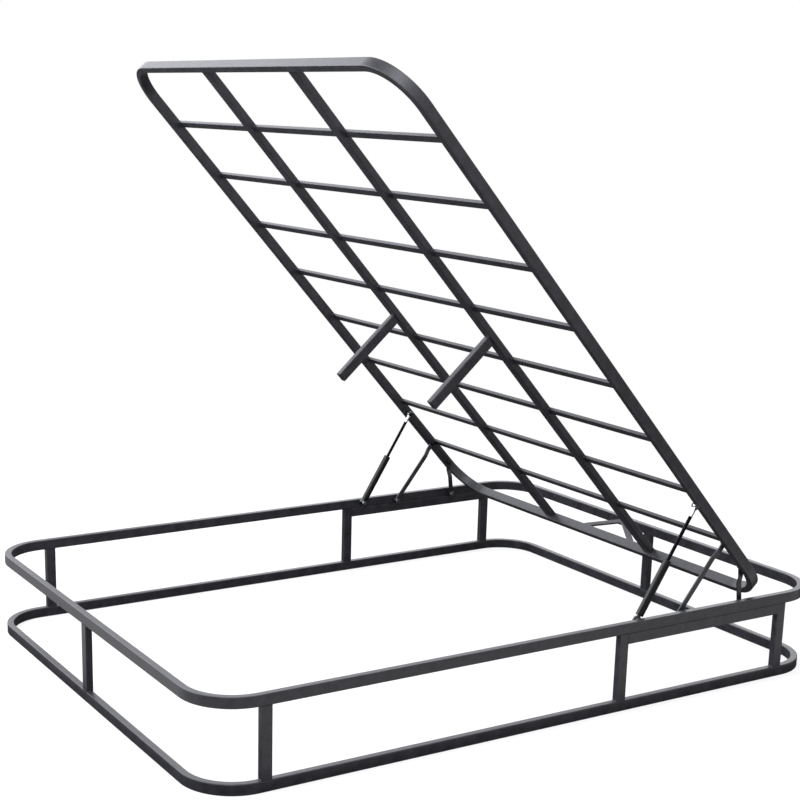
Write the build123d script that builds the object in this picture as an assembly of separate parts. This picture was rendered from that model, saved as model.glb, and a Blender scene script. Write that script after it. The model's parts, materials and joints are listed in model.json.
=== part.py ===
from build123d import *
import math
import os

# A lift-up bed base: a floor frame of bent and welded rectangular tube, and a slatted deck that
# swings up and towards the foot on two pairs of links, helped by a gas strut on each side.
# Millimetres. X runs across the bed, +Y towards the head, where the mechanism is, +Z up.
# The origin is on the floor, under the middle of the floor frame. Everything is drawn with the
# deck raised to its end stop.

# Floor frame
BASE_LENGTH = 2000.0
BASE_WIDTH = 1500.0
BASE_HEIGHT = 250.0
BASE_CORNER_RADIUS = 145.0
HEAD_POST_TO_END = 170.0
MIDDLE_POST_TO_HEAD = 750.0
FOOT_POST_TO_END = 162.5
LEFT_POST_SHIFT = 22.0

# Frame tube, used upright in both frames
TUBE_HEIGHT = 30.0
TUBE_WIDTH = 20.0
TUBE_WALL = 1.5
TUBE_CORNER = 2.5
POST_WIDTH = 30.0

# Deck, as wide as the floor frame and flush with its foot end when it is down
DECK_HEAD_INSET = 50.0
DECK_CORNER_RADIUS = 135.0
DECK_REST_GAP = 0.5
BAR_SPACING = 492.0
BAR_WIDTH = 35.0
BAR_HEIGHT = 20.0
SLAT_COUNT = 8
SLAT_END_MARGIN = 240.0
SLAT_WIDTH = 20.0
SLAT_HEIGHT = 10.0
SLAT_WALL = 1.2
SLAT_CORNER = 1.5

# Support legs under the deck's bars
LEG_TO_HEAD = 964.0
LEG_DEPTH = 30.0
LEG_WIDTH = 20.0
LEG_FLOOR_GAP = 6.0
CAP_FLANGE = 3.0
CAP_PLUG = 12.0
CAP_CLEARANCE = 0.1
CAP_CORNER = 1.5

# Mattress retainer on the head bar
RETAINER_SPAN = 220.0
RETAINER_RISE = 68.0
RETAINER_WIDTH = 18.0
RETAINER_THICKNESS = 5.0
RETAINER_CREST_RADIUS = 30.0
RETAINER_LEAN = 15.0
RETAINER_OFFSET = 34.0

# Mechanism: pivot places, counted from the head end of the deck when it is down. The floor
# frame's are counted down from its top, and the deck's heights up from its underside
OPEN_TILT = 48.0
LONG_BASE_TO_HEAD = 489.0
LONG_BASE_BELOW_TOP = 18.0
LONG_DECK_TO_HEAD = 248.5
SHORT_BASE_TO_HEAD = 257.0
SHORT_BASE_BELOW_TOP = 20.0
SHORT_DECK_TO_HEAD = 145.0
LINK_DECK_T = 11.0
STRUT_BASE_TO_HEAD = 630.0
STRUT_BASE_BELOW_TOP = 9.0
STRUT_DECK_TO_HEAD = 405.0
STRUT_DECK_T = 10.0

# Links
LINK_WIDTH = 15.0
LINK_THICKNESS = 4.0
JOGGLE_START = 52.0
JOGGLE_RUN = 22.0
JOGGLE_BEND_RADIUS = 6.0
BOSS_LENGTH = 10.0
BOSS_DIAMETER = 16.0
BRACKET_THICKNESS = 3.0
BRACKET_LOW = 2.0
BRACKET_HIGH = 19.0
BRACKET_END_MARGIN = 26.0

# Fasteners
SHOULDER_DIAMETER = 8.0
THREAD_DIAMETER = 6.0
THREAD_LENGTH = 8.0
HEAD_ACROSS_FLATS = 13.0
HEAD_HEIGHT = 5.3
HEAD_CHAMFER = 0.8
WASHER_DIAMETER = 16.0
WASHER_THICKNESS = 1.6
NUT_ACROSS_FLATS = 10.0
NUT_HEIGHT = 5.0
THREAD_CLEARANCE = 0.1
PIVOT_CLEARANCE = 0.06
SIDE_CLEARANCE = 0.3
OPEN_PIVOT_CLEARANCE = 0.5

# Gas struts
CYLINDER_DIAMETER = 22.0
CYLINDER_WALL = 1.5
CYLINDER_END_FROM_PIVOT = 182.0
CYLINDER_START_FROM_PIVOT = 13.0
CYLINDER_CRIMP = 2.5
CYLINDER_END_RADIUS = 1.2
MOUTH_CLEARANCE = 1.5
ROD_DIAMETER = 10.0
ROD_RUNNING_CLEARANCE = 0.05
GUIDE_LENGTH = 12.0
PISTON_LENGTH = 10.0
PISTON_CLEARANCE = 0.08
EYE_DIAMETER = 16.0
EYE_THICKNESS = 10.0
EYE_NECK_GAP = 1.0
ROD_EYE_LENGTH = 32.0
EYE_SCREW_DEPTH = 10.0
EYE_SCREW_DIAMETER = 8.0
STRUT_FROM_RAIL = 16.0

# Worked out from the sizes above
HALF_LENGTH = BASE_LENGTH / 2
HALF_WIDTH = BASE_WIDTH / 2
RAIL_INNER_X = HALF_WIDTH - TUBE_WIDTH
TOP_RING_Z = BASE_HEIGHT - TUBE_HEIGHT
POST_HEIGHT = BASE_HEIGHT - 2 * TUBE_HEIGHT
HEAD_POST_Y = HALF_LENGTH - HEAD_POST_TO_END
MIDDLE_POST_Y = HALF_LENGTH - MIDDLE_POST_TO_HEAD
FOOT_POST_Y = FOOT_POST_TO_END - HALF_LENGTH
DECK_LENGTH = BASE_LENGTH - DECK_HEAD_INSET
CLOSED_Z = BASE_HEIGHT + DECK_REST_GAP
CLOSED_HEAD_Y = HALF_LENGTH - DECK_HEAD_INSET
BAR_X = BAR_SPACING / 2
LEG_LENGTH = CLOSED_Z - LEG_FLOOR_GAP
LINK_BASE_X = RAIL_INNER_X - BOSS_LENGTH - SIDE_CLEARANCE
BRACKET_FACE_X = RAIL_INNER_X - BRACKET_THICKNESS
LINK_DECK_X = BRACKET_FACE_X - SIDE_CLEARANCE
STRUT_X = RAIL_INNER_X - STRUT_FROM_RAIL
EYE_OUTER_X = STRUT_X + EYE_THICKNESS / 2
PIVOT_HOLE = SHOULDER_DIAMETER + 2 * PIVOT_CLEARANCE
THREAD_HOLE = THREAD_DIAMETER + 2 * THREAD_CLEARANCE


def polar(angle, length):
    """A step of a given length in the Y-Z plane, its angle counted from +Y towards +Z."""
    return length * math.cos(angle), length * math.sin(angle)


def span(start, end):
    """Angle and distance from one Y-Z point to another."""
    dy, dz = end[0] - start[0], end[1] - start[1]
    return math.atan2(dz, dy), math.hypot(dy, dz)


LONG_BASE = (CLOSED_HEAD_Y - LONG_BASE_TO_HEAD, BASE_HEIGHT - LONG_BASE_BELOW_TOP)
SHORT_BASE = (CLOSED_HEAD_Y - SHORT_BASE_TO_HEAD, BASE_HEIGHT - SHORT_BASE_BELOW_TOP)
STRUT_BASE = (CLOSED_HEAD_Y - STRUT_BASE_TO_HEAD, BASE_HEIGHT - STRUT_BASE_BELOW_TOP)


def deck_point(head, tilt, to_head, height):
    """Y-Z place of a deck point, with the head end's underside at head."""
    along_y, along_z = -math.cos(tilt), math.sin(tilt)
    up_y, up_z = math.sin(tilt), math.cos(tilt)
    return head[0] + to_head * along_y + height * up_y, head[1] + to_head * along_z + height * up_z


CLOSED_HEAD = (CLOSED_HEAD_Y, CLOSED_Z)
LONG_LENGTH = span(LONG_BASE, deck_point(CLOSED_HEAD, 0.0, LONG_DECK_TO_HEAD, LINK_DECK_T))[1]
SHORT_LENGTH = span(SHORT_BASE, deck_point(CLOSED_HEAD, 0.0, SHORT_DECK_TO_HEAD, LINK_DECK_T))[1]


def deck_head(tilt):
    """Where both links put the head end of the deck at a given tilt: the crossing of two circles."""
    long_y, long_z = deck_point((0.0, 0.0), tilt, LONG_DECK_TO_HEAD, LINK_DECK_T)
    short_y, short_z = deck_point((0.0, 0.0), tilt, SHORT_DECK_TO_HEAD, LINK_DECK_T)
    long_centre = (LONG_BASE[0] - long_y, LONG_BASE[1] - long_z)
    short_centre = (SHORT_BASE[0] - short_y, SHORT_BASE[1] - short_z)
    angle, distance = span(long_centre, short_centre)
    along = (LONG_LENGTH ** 2 - SHORT_LENGTH ** 2 + distance ** 2) / (2 * distance)
    turn = math.acos(along / LONG_LENGTH)
    step_y, step_z = polar(angle + turn, LONG_LENGTH)
    return long_centre[0] + step_y, long_centre[1] + step_z


FROM_BOTTOM = (Align.CENTER, Align.CENTER, Align.MIN)
TILT = math.radians(OPEN_TILT)
OPEN_HEAD = deck_head(TILT)
LONG_TOP = deck_point(OPEN_HEAD, TILT, LONG_DECK_TO_HEAD, LINK_DECK_T)
SHORT_TOP = deck_point(OPEN_HEAD, TILT, SHORT_DECK_TO_HEAD, LINK_DECK_T)
STRUT_TOP = deck_point(OPEN_HEAD, TILT, STRUT_DECK_TO_HEAD, STRUT_DECK_T)
STRUT_CLOSED_TOP = deck_point(CLOSED_HEAD, 0.0, STRUT_DECK_TO_HEAD, STRUT_DECK_T)

# The deck is drawn flat, head end at Y 0 and underside at Z 0, and then raised to its open place
DECK_PLANE = Plane(
    origin=(0, OPEN_HEAD[0], OPEN_HEAD[1]), x_dir=(1, 0, 0), z_dir=(0, math.sin(TILT), math.cos(TILT))
)
DECK_PLACE = DECK_PLANE.location


def tube_section(width, height, wall, corner):
    """Hollow tube section, square inside as thin tube nearly is."""
    return RectangleRounded(width, height, corner) - Rectangle(width - 2 * wall, height - 2 * wall)


def straight_tube(width, height, length, wall=TUBE_WALL, corner=TUBE_CORNER):
    """Tube along +Z from Z 0, width along X and height along Y."""
    return extrude(tube_section(width, height, wall, corner), amount=length)


def half_ring(length, radius, end):
    """U of upright frame tube with its underside at Z 0, as wide as the bed.

    The full ring runs over a rectangle centred on the origin. end is 1 or -1 for the half on
    the +Y or -Y side.
    """
    half_x = HALF_WIDTH - TUBE_WIDTH / 2
    half_y = length / 2 - TUBE_WIDTH / 2
    bend = radius - TUBE_WIDTH / 2
    corner_x, corner_y = half_x - bend, end * (half_y - bend)
    mid = bend * math.sin(math.pi / 4)
    height = TUBE_HEIGHT / 2
    path = Wire(
        [
            Edge.make_line((half_x, 0, height), (half_x, corner_y, height)),
            Edge.make_three_point_arc(
                (half_x, corner_y, height),
                (corner_x + mid, corner_y + end * mid, height),
                (corner_x, end * half_y, height),
            ),
            Edge.make_line((corner_x, end * half_y, height), (-corner_x, end * half_y, height)),
            Edge.make_three_point_arc(
                (-corner_x, end * half_y, height),
                (-corner_x - mid, corner_y + end * mid, height),
                (-half_x, corner_y, height),
            ),
            Edge.make_line((-half_x, corner_y, height), (-half_x, 0, height)),
        ]
    )
    start = Plane(origin=(half_x, 0, height), x_dir=(1, 0, 0), z_dir=(0, end, 0))
    section = start * tube_section(TUBE_WIDTH, TUBE_HEIGHT, TUBE_WALL, TUBE_CORNER)
    return sweep(section, path=path)


def base_ring_half(z, end):
    """Half of a floor frame ring with its underside at z."""
    return Pos(0, 0, z) * half_ring(BASE_LENGTH, BASE_CORNER_RADIUS, end)


def side_post(y):
    """Post of the right side, standing on the lower ring."""
    tube = straight_tube(TUBE_WIDTH, POST_WIDTH, POST_HEIGHT)
    return Pos(HALF_WIDTH - TUBE_WIDTH / 2, y, TUBE_HEIGHT) * tube


def end_post(end):
    """Post in the middle of the head or foot end."""
    y = end * (HALF_LENGTH - TUBE_WIDTH / 2)
    return Pos(0, y, TUBE_HEIGHT) * straight_tube(POST_WIDTH, TUBE_WIDTH, POST_HEIGHT)


def stiffener():
    """Second tube under the right top rail, welded between the middle and the head post."""
    start = MIDDLE_POST_Y + POST_WIDTH / 2
    length = HEAD_POST_Y - POST_WIDTH / 2 - start
    z = TOP_RING_Z - TUBE_HEIGHT / 2
    place = Plane(origin=(HALF_WIDTH - TUBE_WIDTH / 2, start, z), x_dir=(1, 0, 0), z_dir=(0, 1, 0))
    return place.location * straight_tube(TUBE_WIDTH, TUBE_HEIGHT, length)


def cross_plane(x, point, angle=0.0):
    """Plane at x and a Y-Z point, its Z axis along +X and its X axis at angle from +Y."""
    along = (0, math.cos(angle), math.sin(angle))
    return Plane(origin=(x, point[0], point[1]), x_dir=along, z_dir=(1, 0, 0))


def boss(point, inner_x, outer_x):
    """Threaded boss between two X places, welded on by its outer end."""
    ring = Circle(BOSS_DIAMETER / 2) - Circle(THREAD_HOLE / 2)
    return cross_plane(inner_x, point).location * extrude(ring, amount=outer_x - inner_x)


def pivot_bolt(point, seat_x, grip, thread=THREAD_LENGTH):
    """Shoulder bolt: its head and washer are inboard, and the shoulder ends at seat_x."""
    head = extrude(RegularPolygon(HEAD_ACROSS_FLATS / 2, 6, major_radius=False), amount=HEAD_HEIGHT)
    head = chamfer(head.faces().sort_by(Axis.Z)[0].edges(), HEAD_CHAMFER)
    length = WASHER_THICKNESS + grip
    bolt = head + Pos(0, 0, HEAD_HEIGHT) * Cylinder(SHOULDER_DIAMETER / 2, length, align=FROM_BOTTOM)
    if thread:
        bolt += Pos(0, 0, HEAD_HEIGHT + length) * Cylinder(THREAD_DIAMETER / 2, thread, align=FROM_BOTTOM)
    return cross_plane(seat_x - length - HEAD_HEIGHT, point).location * bolt


def pivot_washer(point, seat_x, grip):
    """Washer under the head of the bolt with the same seat and grip."""
    ring = Circle(WASHER_DIAMETER / 2) - Circle(PIVOT_HOLE / 2)
    place = cross_plane(seat_x - grip - WASHER_THICKNESS, point)
    return place.location * extrude(ring, amount=WASHER_THICKNESS)


def bolt_set(point, seat_x, grip, thread=THREAD_LENGTH):
    """A pivot's bolt and washer."""
    return [pivot_bolt(point, seat_x, grip, thread), pivot_washer(point, seat_x, grip)]


def rail_nut(point):
    """Nut welded inside the right deck rail."""
    blank = RegularPolygon(NUT_ACROSS_FLATS / 2, 6, major_radius=False) - Circle(THREAD_HOLE / 2)
    inside = RAIL_INNER_X + TUBE_WALL
    return cross_plane(inside, point).location * extrude(blank, amount=NUT_HEIGHT)


def link(base, top, base_x, top_x):
    """Flat bar link of the right side, cranked outwards near its upper end."""
    angle, length = span(base, top)
    rise = top_x - base_x
    bend_end = length - JOGGLE_START + JOGGLE_RUN
    bend_start = length - JOGGLE_START
    reach = LINK_WIDTH / 2
    inner = [(-reach, 0), (bend_start, 0), (bend_end, rise), (length + reach, rise)]
    outer = [(x, z + LINK_THICKNESS) for x, z in reversed(inner)]
    strip = make_face(Polyline(*inner, *outer, close=True))
    bends = [v for v in strip.vertices() if 0 < v.X < length]
    strip = fillet(bends, JOGGLE_BEND_RADIUS)
    bar = extrude(Plane.XZ * strip, amount=LINK_WIDTH / 2, both=True)
    outline = Pos(length / 2, 0) * SlotCenterToCenter(length, LINK_WIDTH)
    outline -= Circle(PIVOT_HOLE / 2)
    outline -= Pos(length, 0) * Circle(PIVOT_HOLE / 2)
    blank = extrude(outline, amount=rise + LINK_THICKNESS)
    return cross_plane(base_x - LINK_THICKNESS, base, angle).location * (bar & blank)


def strut_plane():
    """Plane on the right strut's axis: X along the strut from its base pivot, Z along +X."""
    return cross_plane(STRUT_X, STRUT_BASE, span(STRUT_BASE, STRUT_TOP)[0])


def strut_axis_plane(distance):
    """Plane across the right strut's axis at a distance from the base pivot."""
    along = strut_plane()
    return Plane(origin=along.origin + along.x_dir * distance, x_dir=along.y_dir, z_dir=along.x_dir)


def strut_eye(neck_end):
    """Strut end fitting along +Z: an eye round the pivot at the origin, a neck and a screw."""
    neck_start = WASHER_DIAMETER / 2 + EYE_NECK_GAP
    tongue = Box(EYE_THICKNESS, EYE_THICKNESS, neck_start + EYE_NECK_GAP, align=FROM_BOTTOM)
    eye = Rot(90, 0, 0) * Cylinder(EYE_DIAMETER / 2, EYE_THICKNESS) + tongue
    eye -= Rot(90, 0, 0) * Cylinder(PIVOT_HOLE / 2, 2 * EYE_THICKNESS)
    neck = Cylinder(EYE_THICKNESS / 2, neck_end - neck_start, align=FROM_BOTTOM)
    screw = Cylinder(EYE_SCREW_DIAMETER / 2, EYE_SCREW_DEPTH, align=FROM_BOTTOM)
    return eye + Pos(0, 0, neck_start) * neck + Pos(0, 0, neck_end) * screw


STRUT_LENGTH = span(STRUT_BASE, STRUT_TOP)[1]
STRUT_CLOSED_LENGTH = span(STRUT_BASE, STRUT_CLOSED_TOP)[1]
BORE_RADIUS = CYLINDER_DIAMETER / 2 - CYLINDER_WALL
EYE_SCREW_HOLE = EYE_SCREW_DIAMETER + 2 * THREAD_CLEARANCE
ROD_TIP = CYLINDER_END_FROM_PIVOT - CYLINDER_CRIMP - GUIDE_LENGTH - PISTON_LENGTH


def strut_cylinder():
    """Gas cylinder: drawn tube with a closed base end and a rolled lip over the rod guide."""
    length = CYLINDER_END_FROM_PIVOT - CYLINDER_START_FROM_PIVOT
    floor = EYE_SCREW_DEPTH + CYLINDER_WALL
    mouth_radius = ROD_DIAMETER / 2 + MOUTH_CLEARANCE
    body = Cylinder(CYLINDER_DIAMETER / 2, length, align=FROM_BOTTOM)
    body = fillet(body.edges().filter_by(GeomType.CIRCLE), CYLINDER_END_RADIUS)
    body -= Pos(0, 0, floor) * Cylinder(BORE_RADIUS, length - floor - CYLINDER_CRIMP, align=FROM_BOTTOM)
    body -= Pos(0, 0, length - CYLINDER_CRIMP) * Cylinder(mouth_radius, CYLINDER_CRIMP, align=FROM_BOTTOM)
    body -= Cylinder(EYE_SCREW_HOLE / 2, EYE_SCREW_DEPTH, align=FROM_BOTTOM)
    return strut_axis_plane(CYLINDER_START_FROM_PIVOT).location * body


def strut_guide():
    """Rod guide and seal, held in the cylinder's mouth."""
    ring = Circle(BORE_RADIUS) - Circle(ROD_DIAMETER / 2 + ROD_RUNNING_CLEARANCE)
    start = CYLINDER_END_FROM_PIVOT - CYLINDER_CRIMP - GUIDE_LENGTH
    return strut_axis_plane(start).location * extrude(ring, amount=GUIDE_LENGTH)


def strut_rod():
    """Rod from its piston to the upper fitting."""
    length = STRUT_LENGTH - ROD_EYE_LENGTH - ROD_TIP
    rod = Cylinder(ROD_DIAMETER / 2, length, align=FROM_BOTTOM)
    socket = Cylinder(EYE_SCREW_HOLE / 2, EYE_SCREW_DEPTH, align=FROM_BOTTOM)
    rod -= Pos(0, 0, length - EYE_SCREW_DEPTH) * socket
    return strut_axis_plane(ROD_TIP).location * rod


def strut_piston():
    """Piston on the rod's inner end."""
    disc = Circle(BORE_RADIUS - PISTON_CLEARANCE) - Circle(ROD_DIAMETER / 2)
    return strut_axis_plane(ROD_TIP).location * extrude(disc, amount=PISTON_LENGTH)


def base_eye():
    """Lower strut fitting, screwed into the cylinder."""
    return strut_axis_plane(0.0).location * strut_eye(CYLINDER_START_FROM_PIVOT)


def rod_eye():
    """Upper strut fitting, screwed into the rod."""
    along = strut_axis_plane(STRUT_LENGTH)
    down = Plane(origin=along.origin, x_dir=along.x_dir, z_dir=-along.z_dir)
    return down.location * strut_eye(ROD_EYE_LENGTH)


def on_deck(shape):
    """Move a shape drawn on the flat deck to the raised deck."""
    return DECK_PLACE * shape


def deck_frame_half(end):
    """Half of the deck's outer frame."""
    ring = Pos(0, -DECK_LENGTH / 2, 0) * half_ring(DECK_LENGTH, DECK_CORNER_RADIUS, end)
    if end > 0:
        for to_head, height in deck_pivots():
            drill = Rot(0, 90, 0) * Cylinder(THREAD_HOLE / 2, 2 * RAIL_INNER_X + 3 * TUBE_WALL)
            ring -= Pos(0, -to_head, height) * drill
    return ring


def deck_bar():
    """Right longitudinal bar, flush with the deck's top face."""
    length = DECK_LENGTH - 2 * TUBE_WIDTH
    z = TUBE_HEIGHT - BAR_HEIGHT / 2
    place = Plane(origin=(BAR_X, -TUBE_WIDTH, z), x_dir=(1, 0, 0), z_dir=(0, -1, 0))
    return place.location * straight_tube(BAR_WIDTH, BAR_HEIGHT, length)


def slat_row(to_head):
    """Three pieces of slat tube in line, cut to fit between the rails and the bars."""
    z = TUBE_HEIGHT - SLAT_HEIGHT / 2
    inner = BAR_X - BAR_WIDTH / 2
    outer = BAR_X + BAR_WIDTH / 2
    pieces = []
    for start, end in ((-RAIL_INNER_X, -outer), (-inner, inner), (outer, RAIL_INNER_X)):
        place = Plane(origin=(start, -to_head, z), x_dir=(0, 1, 0), z_dir=(1, 0, 0))
        tube = straight_tube(SLAT_WIDTH, SLAT_HEIGHT, end - start, SLAT_WALL, SLAT_CORNER)
        pieces.append(place.location * tube)
    return pieces


def leg():
    """Support leg of the right bar, a tube end welded under it."""
    top = TUBE_HEIGHT - BAR_HEIGHT
    length = top + LEG_LENGTH - CAP_FLANGE
    return Pos(BAR_X, -LEG_TO_HEAD, top - length) * straight_tube(LEG_WIDTH, LEG_DEPTH, length)


def leg_cap():
    """Plastic plug that closes the right leg's foot."""
    flange = extrude(RectangleRounded(LEG_WIDTH, LEG_DEPTH, TUBE_CORNER), amount=CAP_FLANGE)
    flange = fillet(flange.faces().sort_by(Axis.Z)[0].edges(), CAP_CORNER)
    room = 2 * (TUBE_WALL + CAP_CLEARANCE)
    plug = Pos(0, 0, CAP_FLANGE) * extrude(Rectangle(LEG_WIDTH - room, LEG_DEPTH - room), amount=CAP_PLUG)
    return Pos(BAR_X, -LEG_TO_HEAD, -LEG_LENGTH) * (flange + plug)


def deck_bracket():
    """Plate on the right deck rail's inner face that carries the three pivots."""
    start = DECK_CORNER_RADIUS
    end = STRUT_DECK_TO_HEAD + BRACKET_END_MARGIN
    height = BRACKET_HIGH - BRACKET_LOW
    middle = (BRACKET_HIGH + BRACKET_LOW) / 2
    plate = Pos(-(start + end) / 2, middle) * RectangleRounded(end - start, height, TUBE_CORNER)
    for to_head, height in deck_pivots():
        plate -= Pos(-to_head, height) * Circle(THREAD_HOLE / 2)
    face = Plane(origin=(BRACKET_FACE_X, 0, 0), x_dir=(0, 1, 0), z_dir=(1, 0, 0))
    return face.location * extrude(plate, amount=BRACKET_THICKNESS)


def deck_pivots():
    """Places of the deck's pivots: distance from the head end, and height."""
    return (
        (LONG_DECK_TO_HEAD, LINK_DECK_T),
        (SHORT_DECK_TO_HEAD, LINK_DECK_T),
        (STRUT_DECK_TO_HEAD, STRUT_DECK_T),
    )


def retainer():
    """Mattress retainer: a flat strip bent to a low hoop that leans out over the head bar."""
    half = RETAINER_SPAN / 2
    line = Polyline((-2 * half, -RETAINER_RISE), (0, RETAINER_RISE), (2 * half, -RETAINER_RISE))
    line = fillet(line.vertices().sort_by(Axis.Y)[-1], RETAINER_CREST_RADIUS)
    strip = extrude(Plane.XZ * trace(line, RETAINER_THICKNESS), amount=RETAINER_WIDTH / 2, both=True)
    leaned = Rot(-RETAINER_LEAN, 0, 0) * strip
    room = Box(BASE_WIDTH, BASE_WIDTH, 2 * RETAINER_RISE, align=FROM_BOTTOM)
    return Pos(RETAINER_OFFSET, -TUBE_WIDTH / 2, TUBE_HEIGHT) * (leaned & room)


def mirrored(shape):
    """The left-hand twin of a right-hand shape."""
    return mirror(shape, about=Plane.YZ)


os.makedirs("parts", exist_ok=True)


def save(name, shape):
    """Write one node."""
    export_step(shape, f"parts/{name}.step")


def save_pair(name, shape):
    """Write the right-hand node and its left-hand twin."""
    save(f"{name}_right", shape)
    save(f"{name}_left", mirrored(shape))


def save_posts(name, y):
    """Write a right-hand post and its left-hand one, which stands nearer the head."""
    save(f"{name}_right", side_post(y))
    save(f"{name}_left", mirrored(side_post(y + LEFT_POST_SHIFT)))


def save_both(name, shapes):
    """Write the right-hand shapes and their left-hand twins as one node of separate solids."""
    save(name, Compound([*shapes, *(mirrored(shape) for shape in shapes)]))


def save_floor_frame():
    """Welded floor frame, with the bosses for the mechanism."""
    for name, end in (("head", 1), ("foot", -1)):
        save(f"bottom_ring_{name}_half", base_ring_half(0.0, end))
        save(f"top_ring_{name}_half", base_ring_half(TOP_RING_Z, end))
        save(f"{name}_post", end_post(end))
    save_posts("head_corner_post", HEAD_POST_Y)
    save_posts("middle_post", MIDDLE_POST_Y)
    save_posts("foot_corner_post", FOOT_POST_Y)
    save("stiffener_rail_right", stiffener())
    save("stiffener_rail_left", mirrored(Pos(0, LEFT_POST_SHIFT, 0) * stiffener()))
    link_seat = LINK_BASE_X + SIDE_CLEARANCE
    strut_seat = EYE_OUTER_X + SIDE_CLEARANCE
    link_grip = LINK_THICKNESS + 2 * SIDE_CLEARANCE
    strut_grip = EYE_THICKNESS + 2 * SIDE_CLEARANCE
    pivots = (
        (LONG_BASE, link_seat, link_grip),
        (SHORT_BASE, link_seat, link_grip),
        (STRUT_BASE, strut_seat, strut_grip),
    )
    save_both("base_bosses", [boss(point, seat, RAIL_INNER_X) for point, seat, _ in pivots])
    save_both("base_pivot_bolts", [piece for pivot in pivots for piece in bolt_set(*pivot)])


def save_links():
    """Both pairs of links, and the bolt that stays with each short link at its upper end."""
    save_pair("long_link", link(LONG_BASE, LONG_TOP, LINK_BASE_X, LINK_DECK_X))
    save_pair("short_link", link(SHORT_BASE, SHORT_TOP, LINK_BASE_X, LINK_DECK_X))
    seat = BRACKET_FACE_X - OPEN_PIVOT_CLEARANCE
    grip = LINK_THICKNESS + SIDE_CLEARANCE - OPEN_PIVOT_CLEARANCE
    save_pair("short_link_top_bolt", Compound(bolt_set(SHORT_TOP, seat, grip, 0.0)))


def save_struts():
    """Both gas struts."""
    save_pair("strut_cylinder", strut_cylinder())
    save_pair("strut_guide", strut_guide())
    save_pair("strut_base_eye", base_eye())
    save_pair("strut_rod", strut_rod())
    save_pair("strut_piston", strut_piston())
    save_pair("strut_rod_eye", rod_eye())
    grip = EYE_THICKNESS + SIDE_CLEARANCE - OPEN_PIVOT_CLEARANCE
    seat = EYE_OUTER_X + SIDE_CLEARANCE - OPEN_PIVOT_CLEARANCE
    save_pair("strut_top_bolt", Compound(bolt_set(STRUT_TOP, seat, grip, 0.0)))


def save_deck():
    """Slatted deck with its legs, brackets and mattress retainer."""
    save("deck_frame_head_half", on_deck(deck_frame_half(1)))
    save("deck_frame_foot_half", on_deck(deck_frame_half(-1)))
    save_pair("deck_bar", on_deck(deck_bar()))
    pitch = (DECK_LENGTH - 2 * SLAT_END_MARGIN) / (SLAT_COUNT - 1)
    for number in range(SLAT_COUNT):
        row = slat_row(SLAT_END_MARGIN + number * pitch)
        save(f"slat_row_{number + 1}", on_deck(Compound(row)))
    save_pair("support_leg", on_deck(leg()))
    save_pair("leg_cap", on_deck(leg_cap()))
    save_pair("deck_bracket", on_deck(deck_bracket()))
    save("mattress_retainer", on_deck(retainer()))
    save_both("strut_bosses", [boss(STRUT_TOP, EYE_OUTER_X + SIDE_CLEARANCE, BRACKET_FACE_X)])
    save_both("rail_nuts", [rail_nut(point) for point in (LONG_TOP, SHORT_TOP, STRUT_TOP)])
    grip = LINK_THICKNESS + 2 * SIDE_CLEARANCE
    save_both("long_link_top_bolts", bolt_set(LONG_TOP, BRACKET_FACE_X, grip))


def main():
    """Write every node."""
    save_floor_frame()
    save_links()
    save_struts()
    save_deck()
    print("long link", round(LONG_LENGTH, 2), "short link", round(SHORT_LENGTH, 2))
    print("strut open", round(STRUT_LENGTH, 2), "closed", round(STRUT_CLOSED_LENGTH, 2))
    print("open head end", round(OPEN_HEAD[0], 2), round(OPEN_HEAD[1], 2))


main()
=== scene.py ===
"""Looks of a lift-up bed base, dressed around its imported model.

The base is welded from black powder-coated steel tube. A slatted deck is raised on two pairs of
cranked links with a gas strut on each side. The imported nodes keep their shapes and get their
finishes here. Weld beads, the mattress retainer's plate and the studio are added. Metres, +Z up,
+Y to the head.
"""

import json
import logging
import math
from collections.abc import Iterable, Sequence
from dataclasses import dataclass, field
from enum import Enum

import bmesh
import bpy
from mathutils import Matrix, Vector


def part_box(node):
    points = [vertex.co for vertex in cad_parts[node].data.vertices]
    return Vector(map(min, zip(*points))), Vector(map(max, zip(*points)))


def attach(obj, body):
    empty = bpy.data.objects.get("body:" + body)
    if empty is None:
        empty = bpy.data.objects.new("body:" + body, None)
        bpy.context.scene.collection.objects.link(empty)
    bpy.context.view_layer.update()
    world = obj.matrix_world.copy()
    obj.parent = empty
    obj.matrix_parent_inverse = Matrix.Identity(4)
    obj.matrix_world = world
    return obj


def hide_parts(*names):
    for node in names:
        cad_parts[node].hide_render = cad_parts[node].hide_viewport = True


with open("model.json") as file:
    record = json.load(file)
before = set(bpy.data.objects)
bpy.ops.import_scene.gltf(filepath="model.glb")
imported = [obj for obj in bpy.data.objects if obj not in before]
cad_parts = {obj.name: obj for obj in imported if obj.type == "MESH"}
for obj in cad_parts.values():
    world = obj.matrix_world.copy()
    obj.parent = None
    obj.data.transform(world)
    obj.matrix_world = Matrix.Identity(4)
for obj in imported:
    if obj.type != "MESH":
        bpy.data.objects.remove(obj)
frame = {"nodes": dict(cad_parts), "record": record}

log = logging.getLogger("bed_base")
MM = 0.001
WHITE = (1.0, 1.0, 1.0, 1.0)


class Body(str, Enum):
    """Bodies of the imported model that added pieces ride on."""

    FLOOR_FRAME = "floor_frame"
    DECK = "deck"


class Side(Enum):
    """Side of the bed, seen from the foot, as its nodes' names end."""

    RIGHT = "right"
    LEFT = "left"


def linear(hex_colour: str) -> tuple[float, float, float, float]:
    """Turn an sRGB hex colour to linear RGBA.

    Args:
        hex_colour: Colour as "#rrggbb".

    Returns:
        Linear red, green and blue, with an alpha of 1.
    """
    channels = [int(hex_colour[i : i + 2], 16) / 255 for i in (1, 3, 5)]
    lin = [c / 12.92 if c <= 0.04045 else ((c + 0.055) / 1.055) ** 2.4 for c in channels]
    return (*lin, 1.0)


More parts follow.
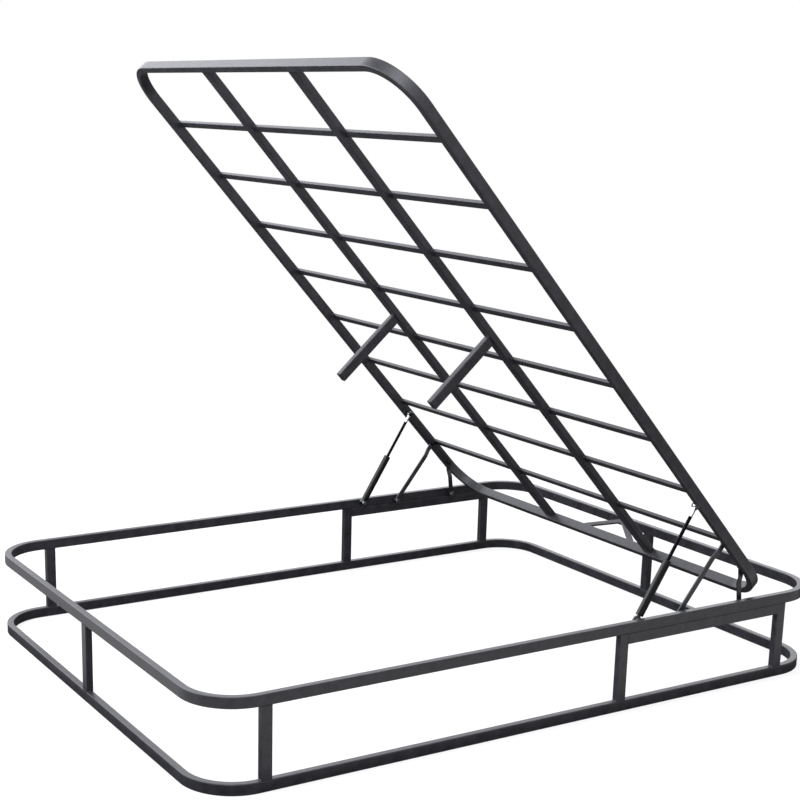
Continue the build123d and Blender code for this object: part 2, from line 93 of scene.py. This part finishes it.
def add_node(tree: bpy.types.NodeTree, kind: str, inputs: dict | None = None,
             **settings: str) -> bpy.types.Node:
    """Add a shader node with its settings, socket values and links.

    Args:
        tree: Node tree that gets the node.
        kind: Blender's name of the node type.
        inputs: Input name or index to a value, or to an output socket to link.
        **settings: Properties of the node itself.

    Returns:
        The new node.
    """
    node = tree.nodes.new(kind)
    for name, value in settings.items():
        setattr(node, name, value)
    for key, value in (inputs or {}).items():
        if isinstance(value, bpy.types.NodeSocket):
            tree.links.new(value, node.inputs[key])
        else:
            node.inputs[key].default_value = value
    return node


def new_material(name: str) -> tuple[bpy.types.Material, bpy.types.NodeTree, bpy.types.Node]:
    """Make an empty node material.

    Args:
        name: Name of the material.

    Returns:
        The material, its node tree and its output node.
    """
    material = bpy.data.materials.new(name)
    material.use_nodes = True
    tree = material.node_tree
    tree.nodes.clear()
    return material, tree, add_node(tree, "ShaderNodeOutputMaterial")


def per_metre(size_mm: float) -> float:
    """Noise scale whose features are about size_mm across in object space."""
    return 1000.0 / size_mm


def shade_ramp(tree: bpy.types.NodeTree, source: bpy.types.NodeSocket, dark: str, light: str,
               low: float = 0.35, high: float = 0.65) -> bpy.types.Node:
    """Colour ramp between two hex colours, driven by a source socket.

    Args:
        tree: Node tree that gets the ramp.
        source: Socket that drives it.
        dark: Hex colour below low.
        light: Hex colour above high.
        low: Driving value of the dark end.
        high: Driving value of the light end.

    Returns:
        The ramp node.
    """
    ramp = add_node(tree, "ShaderNodeValToRGB", {"Fac": source})
    ramp.color_ramp.elements[0].position = low
    ramp.color_ramp.elements[0].color = linear(dark)
    ramp.color_ramp.elements[1].position = high
    ramp.color_ramp.elements[1].color = linear(light)
    return ramp


def spread(tree: bpy.types.NodeTree, source: bpy.types.NodeSocket, low: float,
           high: float) -> bpy.types.Node:
    """Map a 0 to 1 socket to the span from low to high."""
    return add_node(tree, "ShaderNodeMapRange", {"Value": source, "To Min": low, "To Max": high})


def add_to_scene(name: str, data: bpy.types.ID) -> bpy.types.Object:
    """Make an object of its data and link it into the scene.

    Args:
        name: Name of the object.
        data: Its mesh, light or camera.

    Returns:
        The object.
    """
    thing = bpy.data.objects.new(name, data)
    bpy.context.scene.collection.objects.link(thing)
    return thing


def finished_mesh(name: str, mesh: bmesh.types.BMesh, finish: bpy.types.Material) -> bpy.types.Mesh:
    """Turn an edited mesh into mesh data with one finish, and free it.

    Args:
        name: Name of the mesh data.
        mesh: Edited mesh.
        finish: Its material.

    Returns:
        The mesh data.
    """
    data = bpy.data.meshes.new(name)
    mesh.to_mesh(data)
    mesh.free()
    data.materials.append(finish)
    return data


@dataclass(frozen=True)
class PowderCoat:
    """Black polyester powder coat, baked on mild steel.

    The powder melts to a satin skin with a faint orange peel, so edges catch a soft light and flat
    faces stay a calm blue-black.
    """

    name: str = "powder_coated_steel"
    dark: str = "#222226"
    light: str = "#303036"
    roughness: tuple[float, float] = (0.34, 0.46)
    patch_mm: float = 30.0
    patch_detail: float = 3.0
    patch_grit: float = 0.6
    # Real orange peel is about 2 mm from crest to crest, drawn coarser so that it shows
    peel_mm: float = 7.0
    peel_detail: float = 2.0
    peel_height_mm: float = 0.012
    ior: float = 1.47

    def build(self) -> bpy.types.Material:
        """Make the material."""
        material, tree, output = new_material(self.name)
        where = add_node(tree, "ShaderNodeTexCoord").outputs["Object"]
        patches = add_node(tree, "ShaderNodeTexNoise", {
            "Vector": where, "Scale": per_metre(self.patch_mm), "Detail": self.patch_detail,
            "Roughness": self.patch_grit})
        peel = add_node(tree, "ShaderNodeTexNoise", {
            "Vector": where, "Scale": per_metre(self.peel_mm), "Detail": self.peel_detail})
        colour = shade_ramp(tree, patches.outputs["Fac"], self.dark, self.light)
        rough = spread(tree, patches.outputs["Fac"], *self.roughness)
        bump = add_node(tree, "ShaderNodeBump", {
            "Height": peel.outputs["Fac"], "Strength": 1.0, "Distance": self.peel_height_mm * MM})
        skin = add_node(tree, "ShaderNodeBsdfPrincipled", {
            "Base Color": colour.outputs["Color"], "Roughness": rough.outputs["Result"],
            "IOR": self.ior, "Normal": bump.outputs["Normal"]})
        tree.links.new(skin.outputs["BSDF"], output.inputs["Surface"])
        return material


@dataclass(frozen=True)
class BareMetal:
    """Steel or aluminium with no paint, plated, turned or nitrided.

    Tool marks and a thin plating break its highlight a little.
    """

    name: str
    dark: str
    light: str
    roughness: tuple[float, float]
    patch_mm: float = 6.0
    patch_detail: float = 4.0
    patch_grit: float = 0.65
    # Tool marks are about 0.2 mm apart, drawn coarser so that they show
    mark_mm: float = 1.2
    mark_detail: float = 1.0
    mark_height_mm: float = 0.004

    def build(self) -> bpy.types.Material:
        """Make the material."""
        material, tree, output = new_material(self.name)
        where = add_node(tree, "ShaderNodeTexCoord").outputs["Object"]
        patches = add_node(tree, "ShaderNodeTexNoise", {
            "Vector": where, "Scale": per_metre(self.patch_mm), "Detail": self.patch_detail,
            "Roughness": self.patch_grit})
        marks = add_node(tree, "ShaderNodeTexNoise", {
            "Vector": where, "Scale": per_metre(self.mark_mm), "Detail": self.mark_detail})
        colour = shade_ramp(tree, patches.outputs["Fac"], self.dark, self.light)
        rough = spread(tree, patches.outputs["Fac"], *self.roughness)
        bump = add_node(tree, "ShaderNodeBump", {
            "Height": marks.outputs["Fac"], "Strength": 1.0, "Distance": self.mark_height_mm * MM})
        metal = add_node(tree, "ShaderNodeBsdfPrincipled", {
            "Base Color": colour.outputs["Color"], "Metallic": 1.0,
            "Roughness": rough.outputs["Result"], "Normal": bump.outputs["Normal"]})
        tree.links.new(metal.outputs["BSDF"], output.inputs["Surface"])
        return material


@dataclass(frozen=True)
class GlossLacquer:
    """Stoved gloss black lacquer on drawn steel tube.

    It is nearly mirror smooth, so it shows a hard, bright line of light on a black body.
    """

    name: str = "gloss_black_lacquer"
    colour: str = "#060607"
    roughness: float = 0.07
    # Stoved lacquer is about 1.5, lowered to match how black the photographed cylinders are
    ior: float = 1.28
    wave_mm: float = 40.0
    wave_height_mm: float = 0.02

    def build(self) -> bpy.types.Material:
        """Make the material."""
        material, tree, output = new_material(self.name)
        where = add_node(tree, "ShaderNodeTexCoord").outputs["Object"]
        wave = add_node(tree, "ShaderNodeTexNoise", {"Vector": where, "Scale": per_metre(self.wave_mm)})
        bump = add_node(tree, "ShaderNodeBump", {
            "Height": wave.outputs["Fac"], "Strength": 1.0, "Distance": self.wave_height_mm * MM})
        skin = add_node(tree, "ShaderNodeBsdfPrincipled", {
            "Base Color": linear(self.colour), "Roughness": self.roughness, "IOR": self.ior,
            "Normal": bump.outputs["Normal"]})
        tree.links.new(skin.outputs["BSDF"], output.inputs["Surface"])
        return material


@dataclass(frozen=True)
class MouldedPolypropylene:
    """Black polypropylene, moulded in a spark-eroded tool, which leaves an even matt grain."""

    name: str = "moulded_polypropylene"
    dark: str = "#131315"
    light: str = "#1b1b1e"
    roughness: tuple[float, float] = (0.5, 0.62)
    # Spark-eroded grain is about 0.1 mm, drawn coarser so that it shows
    grain_mm: float = 1.0
    grain_height_mm: float = 0.03
    ior: float = 1.49

    def build(self) -> bpy.types.Material:
        """Make the material."""
        material, tree, output = new_material(self.name)
        where = add_node(tree, "ShaderNodeTexCoord").outputs["Object"]
        grain = add_node(tree, "ShaderNodeTexNoise", {"Vector": where, "Scale": per_metre(self.grain_mm)})
        colour = shade_ramp(tree, grain.outputs["Fac"], self.dark, self.light)
        rough = spread(tree, grain.outputs["Fac"], *self.roughness)
        bump = add_node(tree, "ShaderNodeBump", {
            "Height": grain.outputs["Fac"], "Strength": 1.0, "Distance": self.grain_height_mm * MM})
        skin = add_node(tree, "ShaderNodeBsdfPrincipled", {
            "Base Color": colour.outputs["Color"], "Roughness": rough.outputs["Result"],
            "IOR": self.ior, "Normal": bump.outputs["Normal"]})
        tree.links.new(skin.outputs["BSDF"], output.inputs["Surface"])
        return material


@dataclass(frozen=True)
class StudioFloor:
    """White studio floor that keeps the object's faint shadow and throws little light back up.

    The object in the photograph is black underneath and lighter on the sides that face the viewer.
    So the camera sees the whole floor as white, while reflections see it white in front of the
    object and far away, and it is dark in what it throws back.
    """

    name: str = "studio_floor"
    seen: str = "#f6f6f6"
    thrown_back: str = "#4a4a4a"
    # Share of plain white in what the camera sees, up to fade_from and beyond fade_to
    white_share: tuple[float, float] = (0.75, 1.0)
    fade_from: float = 1.2
    fade_to: float = 3.5
    # White in reflections: past the near side and the foot up to front_to, and beyond far_from
    front_edges: tuple[float, float] = (0.78, 1.03)
    front_blend: float = 0.12
    front_from: float = 2.0
    front_to: float = 2.8
    far_from: float = 6.0
    far_to: float = 10.0

    def mirror_zone(self, tree: bpy.types.NodeTree, where: bpy.types.NodeSocket,
                    distance: bpy.types.NodeSocket) -> bpy.types.NodeSocket:
        """Where reflections see the floor as white.

        Args:
            tree: Node tree of the floor.
            where: Place on the floor.
            distance: Distance from the floor's middle.

        Returns:
            Socket that is 1 there and 0 elsewhere.
        """
        place = add_node(tree, "ShaderNodeSeparateXYZ", {0: where})
        foot = add_node(tree, "ShaderNodeMath", {0: place.outputs["Y"], 1: -1.0},
                        operation="MULTIPLY")
        sides = []
        for value, edge in zip((place.outputs["X"], foot.outputs["Value"]), self.front_edges):
            past = add_node(tree, "ShaderNodeMapRange", {
                "Value": value, "From Min": edge, "From Max": edge + self.front_blend})
            sides.append(past.outputs["Result"])
        front = add_node(tree, "ShaderNodeMath", {0: sides[0], 1: sides[1]}, operation="MAXIMUM")
        near = add_node(tree, "ShaderNodeMapRange", {
            "Value": distance, "From Min": self.front_from, "From Max": self.front_to,
            "To Min": 1.0, "To Max": 0.0}, interpolation_type="SMOOTHSTEP")
        far = add_node(tree, "ShaderNodeMapRange", {
            "Value": distance, "From Min": self.far_from, "From Max": self.far_to},
            interpolation_type="SMOOTHSTEP")
        zone = add_node(tree, "ShaderNodeMath", {
            0: front.outputs["Value"], 1: near.outputs["Result"], 2: far.outputs["Result"]},
            operation="MULTIPLY_ADD")
        return zone.outputs["Value"]

    def build(self) -> bpy.types.Material:
        """Make the material."""
        material, tree, output = new_material(self.name)
        ray = add_node(tree, "ShaderNodeLightPath")
        camera = ray.outputs["Is Camera Ray"]
        where = add_node(tree, "ShaderNodeTexCoord").outputs["Object"]
        distance = add_node(tree, "ShaderNodeVectorMath", {0: where}, operation="LENGTH")
        fade = add_node(tree, "ShaderNodeMapRange", {
            "Value": distance.outputs["Value"], "From Min": self.fade_from, "From Max": self.fade_to,
            "To Min": self.white_share[0], "To Max": self.white_share[1]},
            interpolation_type="SMOOTHSTEP")
        share = add_node(tree, "ShaderNodeMath", {0: fade.outputs["Result"], 1: camera},
                         operation="MULTIPLY")
        mirrored = add_node(tree, "ShaderNodeMath", {
            0: ray.outputs["Is Glossy Ray"], 1: ray.outputs["Is Transmission Ray"]},
            operation="MAXIMUM")
        zone = self.mirror_zone(tree, where, distance.outputs["Value"])
        shown = add_node(tree, "ShaderNodeMath", {
            0: mirrored.outputs["Value"], 1: zone, 2: share.outputs["Value"]},
            operation="MULTIPLY_ADD")
        colour = shade_ramp(tree, camera, self.thrown_back, self.seen, low=0.0, high=1.0)
        matt = add_node(tree, "ShaderNodeBsdfDiffuse", {"Color": colour.outputs["Color"]})
        white = add_node(tree, "ShaderNodeEmission", {"Color": WHITE, "Strength": 1.0})
        mix = add_node(tree, "ShaderNodeMixShader", {
            "Fac": shown.outputs["Value"], 1: matt.outputs["BSDF"], 2: white.outputs["Emission"]})
        tree.links.new(mix.outputs["Shader"], output.inputs["Surface"])
        return material


class Finishes:
    """Every finish of the bed base, made once."""

    def __init__(self) -> None:
        """Make the materials."""
        self.powder = PowderCoat().build()
        self.fittings = PowderCoat(name="black_fittings", dark="#1a1a1e", light="#242429",
                                   roughness=(0.25, 0.36)).build()
        self.lacquer = GlossLacquer().build()
        self.rod = BareMetal("black_nitrided_rod", "#08080a", "#101013", (0.2, 0.28)).build()
        self.bolts = BareMetal("black_zinc", "#232427", "#34353a", (0.3, 0.42)).build()
        self.zinc = BareMetal("zinc_plated_steel", "#b9bcc0", "#d3d5d8", (0.24, 0.36)).build()
        self.dull_zinc = BareMetal("dull_zinc_plate", "#6c6e72", "#85878b", (0.3, 0.42)).build()
        self.aluminium = BareMetal("turned_aluminium", "#bfc1c4", "#d0d2d4", (0.3, 0.4)).build()
        self.plastic = MouldedPolypropylene().build()

    def dress(self, node: str, finish: bpy.types.Material) -> None:
        """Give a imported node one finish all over.

        Args:
            node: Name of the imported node.
            finish: Material that it gets.
        """
        target = frame["nodes"][node]
        if not target.material_slots:
            target.data.materials.append(finish)
        for slot in target.material_slots:
            slot.material = finish
        log.info("dressed %s in %s", node, finish.name)


def both_sides(stem: str) -> list[str]:
    """Names of a node that each side has."""
    return [f"{stem}_{side.value}" for side in Side]


@dataclass
class WeldBead:
    """A fillet weld, laid as a row of overlapping ripples and then powder coated."""

    radius: float = 1.9 * MM
    ripple: float = 0.25 * MM
    pitch: float = 2.2 * MM
    # Share of the radius at both ends, from where the bead grows to its full size
    end_share: float = 0.35
    step: float = 0.6 * MM
    fewest_steps: int = 2
    sides: int = 8

    def samples(self, path: Sequence[Vector]) -> list[tuple[Vector, Vector, float]]:
        """Points along a path, with the direction and the distance run at each.

        Args:
            path: Corners of the path.

        Returns:
            Point, unit direction and distance from the start, in order.
        """
        points: list[tuple[Vector, Vector, float]] = []
        run = 0.0
        for start, end in zip(path, path[1:]):
            length = (end - start).length
            direction = (end - start).normalized()
            count = max(self.fewest_steps, round(length / self.step))
            for i in range(count + 1):
                points.append((start.lerp(end, i / count), direction, run + length * i / count))
            run += length
        return points

    def add_to(self, mesh: bmesh.types.BMesh, path: Sequence[Vector]) -> None:
        """Add one bead along a path to a mesh.

        Args:
            mesh: Mesh that collects the beads.
            path: Corners of the path.
        """
        samples = self.samples(path)
        total = samples[-1][2]
        rings = []
        for point, direction, run in samples:
            across = direction.orthogonal().normalized()
            other = direction.cross(across)
            taper = min(1.0, self.end_share + min(run, total - run) / (2 * self.radius))
            radius = (self.radius + self.ripple * abs(math.sin(math.pi * run / self.pitch))) * taper
            ring = []
            for i in range(self.sides):
                turn = 2 * math.pi * i / self.sides
                outwards = math.cos(turn) * across + math.sin(turn) * other
                ring.append(mesh.verts.new(point + radius * outwards))
            rings.append(ring)
        for low, high in zip(rings, rings[1:]):
            for i in range(self.sides):
                j = (i + 1) % self.sides
                mesh.faces.new((low[i], low[j], high[j], high[i]))
        mesh.faces.new(rings[0][::-1])
        mesh.faces.new(rings[-1])

    def build(self, name: str, paths: Iterable[Sequence[Vector]], finish: bpy.types.Material,
              body: Body) -> None:
        """Build one object that holds all the beads of a sub-assembly.

        Args:
            name: Name of the object.
            paths: Path of each bead.
            finish: Material of the beads.
            body: Body that they ride on.
        """
        mesh = bmesh.new()
        for path in paths:
            self.add_to(mesh, path)
        bmesh.ops.recalc_face_normals(mesh, faces=mesh.faces)
        data = finished_mesh(name, mesh, finish)
        data.shade_smooth()
        piece = add_to_scene(name, data)
        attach(piece, body.value)
        log.info("built %s", name)


@dataclass
class FloorFrame:
    """Welded floor frame: two rings, eight posts and two stiffener rails."""

    finishes: Finishes
    bead: WeldBead = field(default_factory=WeldBead)
    bead_inset: float = 2.0 * MM

    def dress(self) -> None:
        """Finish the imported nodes."""
        for end in ("head", "foot"):
            for ring in ("bottom_ring", "top_ring"):
                self.finishes.dress(f"{ring}_{end}_half", self.finishes.powder)
            self.finishes.dress(f"{end}_post", self.finishes.powder)
            for node in both_sides(f"{end}_corner_post"):
                self.finishes.dress(node, self.finishes.powder)
        for node in both_sides("middle_post") + both_sides("stiffener_rail"):
            self.finishes.dress(node, self.finishes.powder)
        self.finishes.dress("base_bosses", self.finishes.fittings)
        self.finishes.dress("base_pivot_bolts", self.finishes.dull_zinc)

    def post_paths(self, node: str, across: int) -> list[list[Vector]]:
        """Beads on the two open faces of a post, at its foot and head.

        Args:
            node: Name of the post's node.
            across: Axis that the beads run along, 0 for X or 1 for Y.

        Returns:
            Paths of its four beads.
        """
        low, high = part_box(node)
        along = 1 - across
        paths = []
        for z in (low.z, high.z):
            for edge in (low[along], high[along]):
                ends = []
                for limit in (low[across] + self.bead_inset, high[across] - self.bead_inset):
                    point = Vector((0.0, 0.0, z))
                    point[along] = edge
                    point[across] = limit
                    ends.append(point)
                paths.append(ends)
        return paths

    def build(self) -> None:
        """Add the weld beads."""
        paths = []
        for side_post in ("head_corner_post", "foot_corner_post", "middle_post"):
            for node in both_sides(side_post):
                paths += self.post_paths(node, 0)
        for node in ("head_post", "foot_post"):
            paths += self.post_paths(node, 1)
        self.bead.build("frame_weld_beads", paths, self.finishes.powder, Body.FLOOR_FRAME)


@dataclass
class Deck:
    """Raised slatted deck: outer frame, bars, slats, legs and brackets, with its weld beads."""

    finishes: Finishes
    bead: WeldBead = field(default_factory=lambda: WeldBead(radius=1.5 * MM))
    slats: int = 8
    length: float = 1950 * MM
    tube_height: float = 30 * MM
    tube_width: float = 20 * MM
    slat_width: float = 20 * MM
    slat_height: float = 10 * MM
    slat_pitch: float = 210 * MM
    bar_width: float = 35 * MM
    bar_x: float = 246 * MM

    def __post_init__(self) -> None:
        """Work out the deck's own axes from its mattress side."""
        mount = next(m for m in frame["record"]["mounts"] if m["name"] == "mattress_side")
        self.up = Vector(mount["axis"]).normalized()
        self.to_foot = Vector((0.0, -self.up.z, self.up.y))
        middle = Vector(mount["pos_m"])
        middle.x = 0.0
        self.head_end = middle - self.to_foot * self.length / 2 - self.up * self.tube_height

    def at(self, x: float, from_head: float, height: float) -> Vector:
        """Place of a deck point.

        Args:
            x: Place across the bed.
            from_head: Distance from the head end.
            height: Height over the underside.

        Returns:
            The point in the part's frame.
        """
        point = self.head_end + self.to_foot * from_head + self.up * height
        point.x = x
        return point

    def dress(self) -> None:
        """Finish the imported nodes."""
        plain = ["deck_frame_head_half", "deck_frame_foot_half"]
        plain += both_sides("deck_bar") + both_sides("support_leg")
        plain += [f"slat_row_{number + 1}" for number in range(self.slats)]
        for node in plain:
            self.finishes.dress(node, self.finishes.powder)
        for node in both_sides("deck_bracket") + ["strut_bosses"]:
            self.finishes.dress(node, self.finishes.fittings)
        for node in both_sides("leg_cap"):
            self.finishes.dress(node, self.finishes.plastic)
        for node in ("rail_nuts", "long_link_top_bolts"):
            self.finishes.dress(node, self.finishes.bolts)

    def slat_paths(self, from_head: float) -> list[list[Vector]]:
        """Beads round the six ends of a slat row, on its sides and underside.

        Args:
            from_head: Distance of the row from the head end.

        Returns:
            Paths of its six beads.
        """
        high = self.tube_height - self.bead.radius
        low = self.tube_height - self.slat_height
        reach = self.slat_width / 2
        corners = ((-reach, high), (-reach, low), (reach, low), (reach, high))
        inner = self.bar_x - self.bar_width / 2
        outer = self.bar_x + self.bar_width / 2
        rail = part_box("deck_frame_head_half")[1].x - self.tube_width
        paths = []
        for x in (-rail, -outer, -inner, inner, outer, rail):
            paths.append([self.at(x, from_head + along, height) for along, height in corners])
        return paths

    def build(self) -> None:
        """Add the weld beads."""
        first = (self.length - (self.slats - 1) * self.slat_pitch) / 2
        paths = []
        for number in range(self.slats):
            paths += self.slat_paths(first + number * self.slat_pitch)
        self.bead.build("deck_weld_beads", paths, self.finishes.powder, Body.DECK)


@dataclass
class Retainer:
    """Mattress retainer: a hoop cut from thick plate, whose broad face looks towards the foot.

    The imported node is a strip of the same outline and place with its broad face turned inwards.
    """

    finishes: Finishes
    deck: Deck
    span: float = 220 * MM
    rise: float = 71 * MM
    plate_width: float = 19 * MM
    thickness: float = 6 * MM
    crest_radius: float = 30 * MM
    lean_deg: float = 15.0
    offset: float = 34 * MM
    edge: float = 0.8 * MM
    edge_segments: int = 2
    crest_steps: int = 12

    def __post_init__(self) -> None:
        """Work out the slope of the hoop's legs."""
        self.slope = math.atan2(self.rise, self.span / 2)

    def side(self, out: float) -> list[tuple[float, float]]:
        """One side of the hoop's outline, from its left foot over the crest to its right foot.

        Args:
            out: Distance outwards from the middle line.

        Returns:
            Places across the bed and heights over the deck's top face.
        """
        radius = self.crest_radius + out
        centre = self.rise - self.crest_radius / math.cos(self.slope)
        foot = self.span / 2 + out / math.sin(self.slope)
        turns = [self.slope * (2 * i / self.crest_steps - 1) for i in range(self.crest_steps + 1)]
        crest = [(radius * math.sin(turn), centre + radius * math.cos(turn)) for turn in turns]
        return [(-foot, 0.0), *crest, (foot, 0.0)]

    def foot_paths(self) -> list[list[Vector]]:
        """Beads along both broad faces of each foot, where it stands on the head bar."""
        middle = self.deck.tube_width / 2
        reach = self.plate_width / 2 / math.sin(self.slope) - self.edge
        paths = []
        for foot in (self.offset - self.span / 2, self.offset + self.span / 2):
            for from_head in (middle - self.thickness / 2, middle + self.thickness / 2):
                ends = [(foot + x, from_head, self.deck.tube_height) for x in (-reach, reach)]
                paths.append([self.deck.at(*end) for end in ends])
        return paths

    def broad_face(self, shift: float) -> list[Vector]:
        """Outline of one broad face, leant out over the head bar.

        Args:
            shift: Distance of the face from the middle of the plate, towards the foot.

        Returns:
            Corners of the outline, in order.
        """
        outline = self.side(self.plate_width / 2) + self.side(-self.plate_width / 2)[::-1]
        lean = math.radians(self.lean_deg)
        middle = self.deck.tube_width / 2
        corners = []
        for x, height in outline:
            from_head = middle - height * math.sin(lean) + shift * math.cos(lean)
            above = self.deck.tube_height + height * math.cos(lean) + shift * math.sin(lean)
            corners.append(self.deck.at(self.offset + x, from_head, above))
        return corners

    def build(self) -> None:
        """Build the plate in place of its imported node, and weld it on."""
        mesh = bmesh.new()
        head = [mesh.verts.new(corner) for corner in self.broad_face(-self.thickness / 2)]
        foot = [mesh.verts.new(corner) for corner in self.broad_face(self.thickness / 2)]
        mesh.faces.new(head)
        mesh.faces.new(foot[::-1])
        for i in range(len(head)):
            j = (i + 1) % len(head)
            mesh.faces.new((head[i], foot[i], foot[j], head[j]))
        bmesh.ops.recalc_face_normals(mesh, faces=mesh.faces)
        bmesh.ops.bevel(mesh, geom=mesh.edges[:], offset=self.edge, segments=self.edge_segments,
                        affect="EDGES")
        data = finished_mesh("retainer_plate", mesh, self.finishes.powder)
        plate = add_to_scene("retainer_plate", data)
        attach(plate, Body.DECK.value)
        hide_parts("mattress_retainer")
        log.info("built retainer_plate")
        self.deck.bead.build("retainer_weld_beads", self.foot_paths(), self.finishes.powder, Body.DECK)


@dataclass
class Mechanism:
    """Links, gas struts and their fasteners, alike on both sides."""

    finishes: Finishes

    def dress(self) -> None:
        """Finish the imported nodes."""
        looks = {
            "long_link": self.finishes.powder,
            "short_link": self.finishes.fittings,
            "short_link_top_bolt": self.finishes.bolts,
            "strut_top_bolt": self.finishes.bolts,
            "strut_cylinder": self.finishes.lacquer,
            "strut_guide": self.finishes.plastic,
            "strut_rod": self.finishes.rod,
            "strut_piston": self.finishes.aluminium,
            "strut_base_eye": self.finishes.lacquer,
            "strut_rod_eye": self.finishes.zinc,
        }
        for stem, finish in looks.items():
            for node in both_sides(stem):
                self.finishes.dress(node, finish)


@dataclass(frozen=True)
class SoftBox:
    """Soft lamp: its place, the point that it faces, its width and height, and its power."""

    name: str
    place: tuple[float, float, float]
    aim: tuple[float, float, float]
    size: tuple[float, float]
    watts: float


@dataclass
class Studio:
    """Pale floor, white background, soft lamps and the camera of the photograph."""

    floor_half: float = 12.0
    # Camera: where it stands round the object, what it looks at and its optics
    azimuth_deg: float = 59.851
    elevation_deg: float = 14.361
    roll_deg: float = 0.808
    distance: float = 4.741
    target_right: float = -0.2310
    target_up: float = 0.0457
    target_height: float = 0.4
    focal_px: float = 1595.35
    centre_px: tuple[float, float] = (320.0, 500.0)
    image_px: float = 800.0
    sensor_mm: float = 36.0
    clip_end: float = 100.0
    # Soft light on matt faces: from the backdrop behind the object and from the room before it
    backdrop: float = 1.0
    room: float = 0.65
    blend: float = 0.4
    lamp_colour: tuple[float, float, float] = (0.92, 0.935, 1.0)
    lamps: tuple[SoftBox, ...] = (
        SoftBox("left_softbox", (-4.4, -1.4, 2.9), (0.0, 0.0, 0.8), (4.5, 4.4), 150.0),
        SoftBox("back_softbox", (-3.4, 3.1, 2.0), (0.3, 0.2, 0.25), (4.4, 2.2), 62.0),
        SoftBox("foot_softbox", (-0.85, -2.63, 2.42), (0.7, 0.45, 0.4), (2.8, 1.4), 95.0),
        SoftBox("front_softbox", (2.2, -1.8, 3.8), (0.3, -0.3, 1.0), (2.4, 2.4), 110.0),
    )

    def floor(self) -> None:
        """Lay the floor."""
        reach = self.floor_half
        corners = [(-reach, -reach, 0), (reach, -reach, 0), (reach, reach, 0), (-reach, reach, 0)]
        data = bpy.data.meshes.new("floor")
        data.from_pydata(corners, [], [(0, 1, 2, 3)])
        data.materials.append(StudioFloor().build())
        floor = add_to_scene("floor", data)

    def sky_light(self) -> None:
        """Plain white world for the eye and in reflections, and softer light on the camera's side."""
        world = bpy.data.worlds.new("studio")
        world.use_nodes = True
        tree = world.node_tree
        tree.nodes.clear()
        azimuth = math.radians(self.azimuth_deg)
        behind = (-math.sin(azimuth), math.cos(azimuth), 0.0)
        where = add_node(tree, "ShaderNodeTexCoord").outputs["Generated"]
        facing = add_node(tree, "ShaderNodeVectorMath", {0: where, 1: behind}, operation="DOT_PRODUCT")
        level = add_node(tree, "ShaderNodeMapRange", {
            "Value": facing.outputs["Value"], "From Min": -self.blend, "From Max": self.blend,
            "To Min": self.room, "To Max": self.backdrop}, interpolation_type="SMOOTHSTEP")
        light = add_node(tree, "ShaderNodeBackground", {
            "Color": WHITE, "Strength": level.outputs["Result"]})
        white = add_node(tree, "ShaderNodeBackground", {"Color": WHITE, "Strength": 1.0})
        ray = add_node(tree, "ShaderNodeLightPath")
        seen = ray.outputs["Is Camera Ray"]
        for kind in ("Is Glossy Ray", "Is Transmission Ray"):
            seen = add_node(tree, "ShaderNodeMath", {0: seen, 1: ray.outputs[kind]},
                            operation="MAXIMUM").outputs["Value"]
        mix = add_node(tree, "ShaderNodeMixShader", {
            "Fac": seen, 1: light.outputs["Background"], 2: white.outputs["Background"]})
        output = add_node(tree, "ShaderNodeOutputWorld")
        tree.links.new(mix.outputs["Shader"], output.inputs["Surface"])
        bpy.context.scene.world = world

    def hang(self, box: SoftBox) -> None:
        """Hang one soft lamp.

        Args:
            box: The lamp.
        """
        data = bpy.data.lights.new(box.name, "AREA")
        data.shape = "RECTANGLE"
        data.size, data.size_y = box.size
        data.energy = box.watts
        data.color = self.lamp_colour
        lamp = add_to_scene(box.name, data)
        lamp.location = box.place
        facing = Vector(box.aim) - Vector(box.place)
        lamp.rotation_euler = facing.to_track_quat("-Z", "Y").to_euler()

    def camera(self) -> None:
        """Set up the camera as it was fitted to the photograph."""
        azimuth = math.radians(self.azimuth_deg)
        elevation = math.radians(self.elevation_deg)
        level = math.cos(elevation)
        back = Vector((math.sin(azimuth) * level, -math.cos(azimuth) * level, math.sin(elevation)))
        right = (-back).cross(Vector((0, 0, 1))).normalized()
        up = back.cross(right)
        target = Vector((0, 0, self.target_height)) + right * self.target_right + up * self.target_up
        roll = Matrix.Rotation(math.radians(self.roll_deg), 3, "Z")
        turn = Matrix((right, up, back)).transposed() @ roll
        data = bpy.data.cameras.new("photo_camera")
        data.sensor_width = self.sensor_mm
        data.lens = self.focal_px / self.image_px * self.sensor_mm
        data.shift_x = (self.image_px / 2 - self.centre_px[0]) / self.image_px
        data.shift_y = (self.centre_px[1] - self.image_px / 2) / self.image_px
        data.clip_end = self.clip_end
        camera = add_to_scene("photo_camera", data)
        camera.matrix_world = Matrix.Translation(target + back * self.distance) @ turn.to_4x4()
        bpy.context.scene.camera = camera

    def build(self) -> None:
        """Set the whole studio up."""
        self.floor()
        self.sky_light()
        for box in self.lamps:
            self.hang(box)
        self.camera()
        bpy.context.scene.view_settings.view_transform = "Standard"
        log.info("built studio")


def main() -> None:
    """Dress the bed base, build its added pieces and set up the studio."""
    logging.basicConfig(level=logging.INFO, format="%(name)s: %(message)s")
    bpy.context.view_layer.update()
    finishes = Finishes()
    floor_frame = FloorFrame(finishes)
    floor_frame.dress()
    floor_frame.build()
    deck = Deck(finishes)
    deck.dress()
    deck.build()
    Retainer(finishes, deck).build()
    Mechanism(finishes).dress()
    Studio().build()


if __name__ == "__main__":
    main()
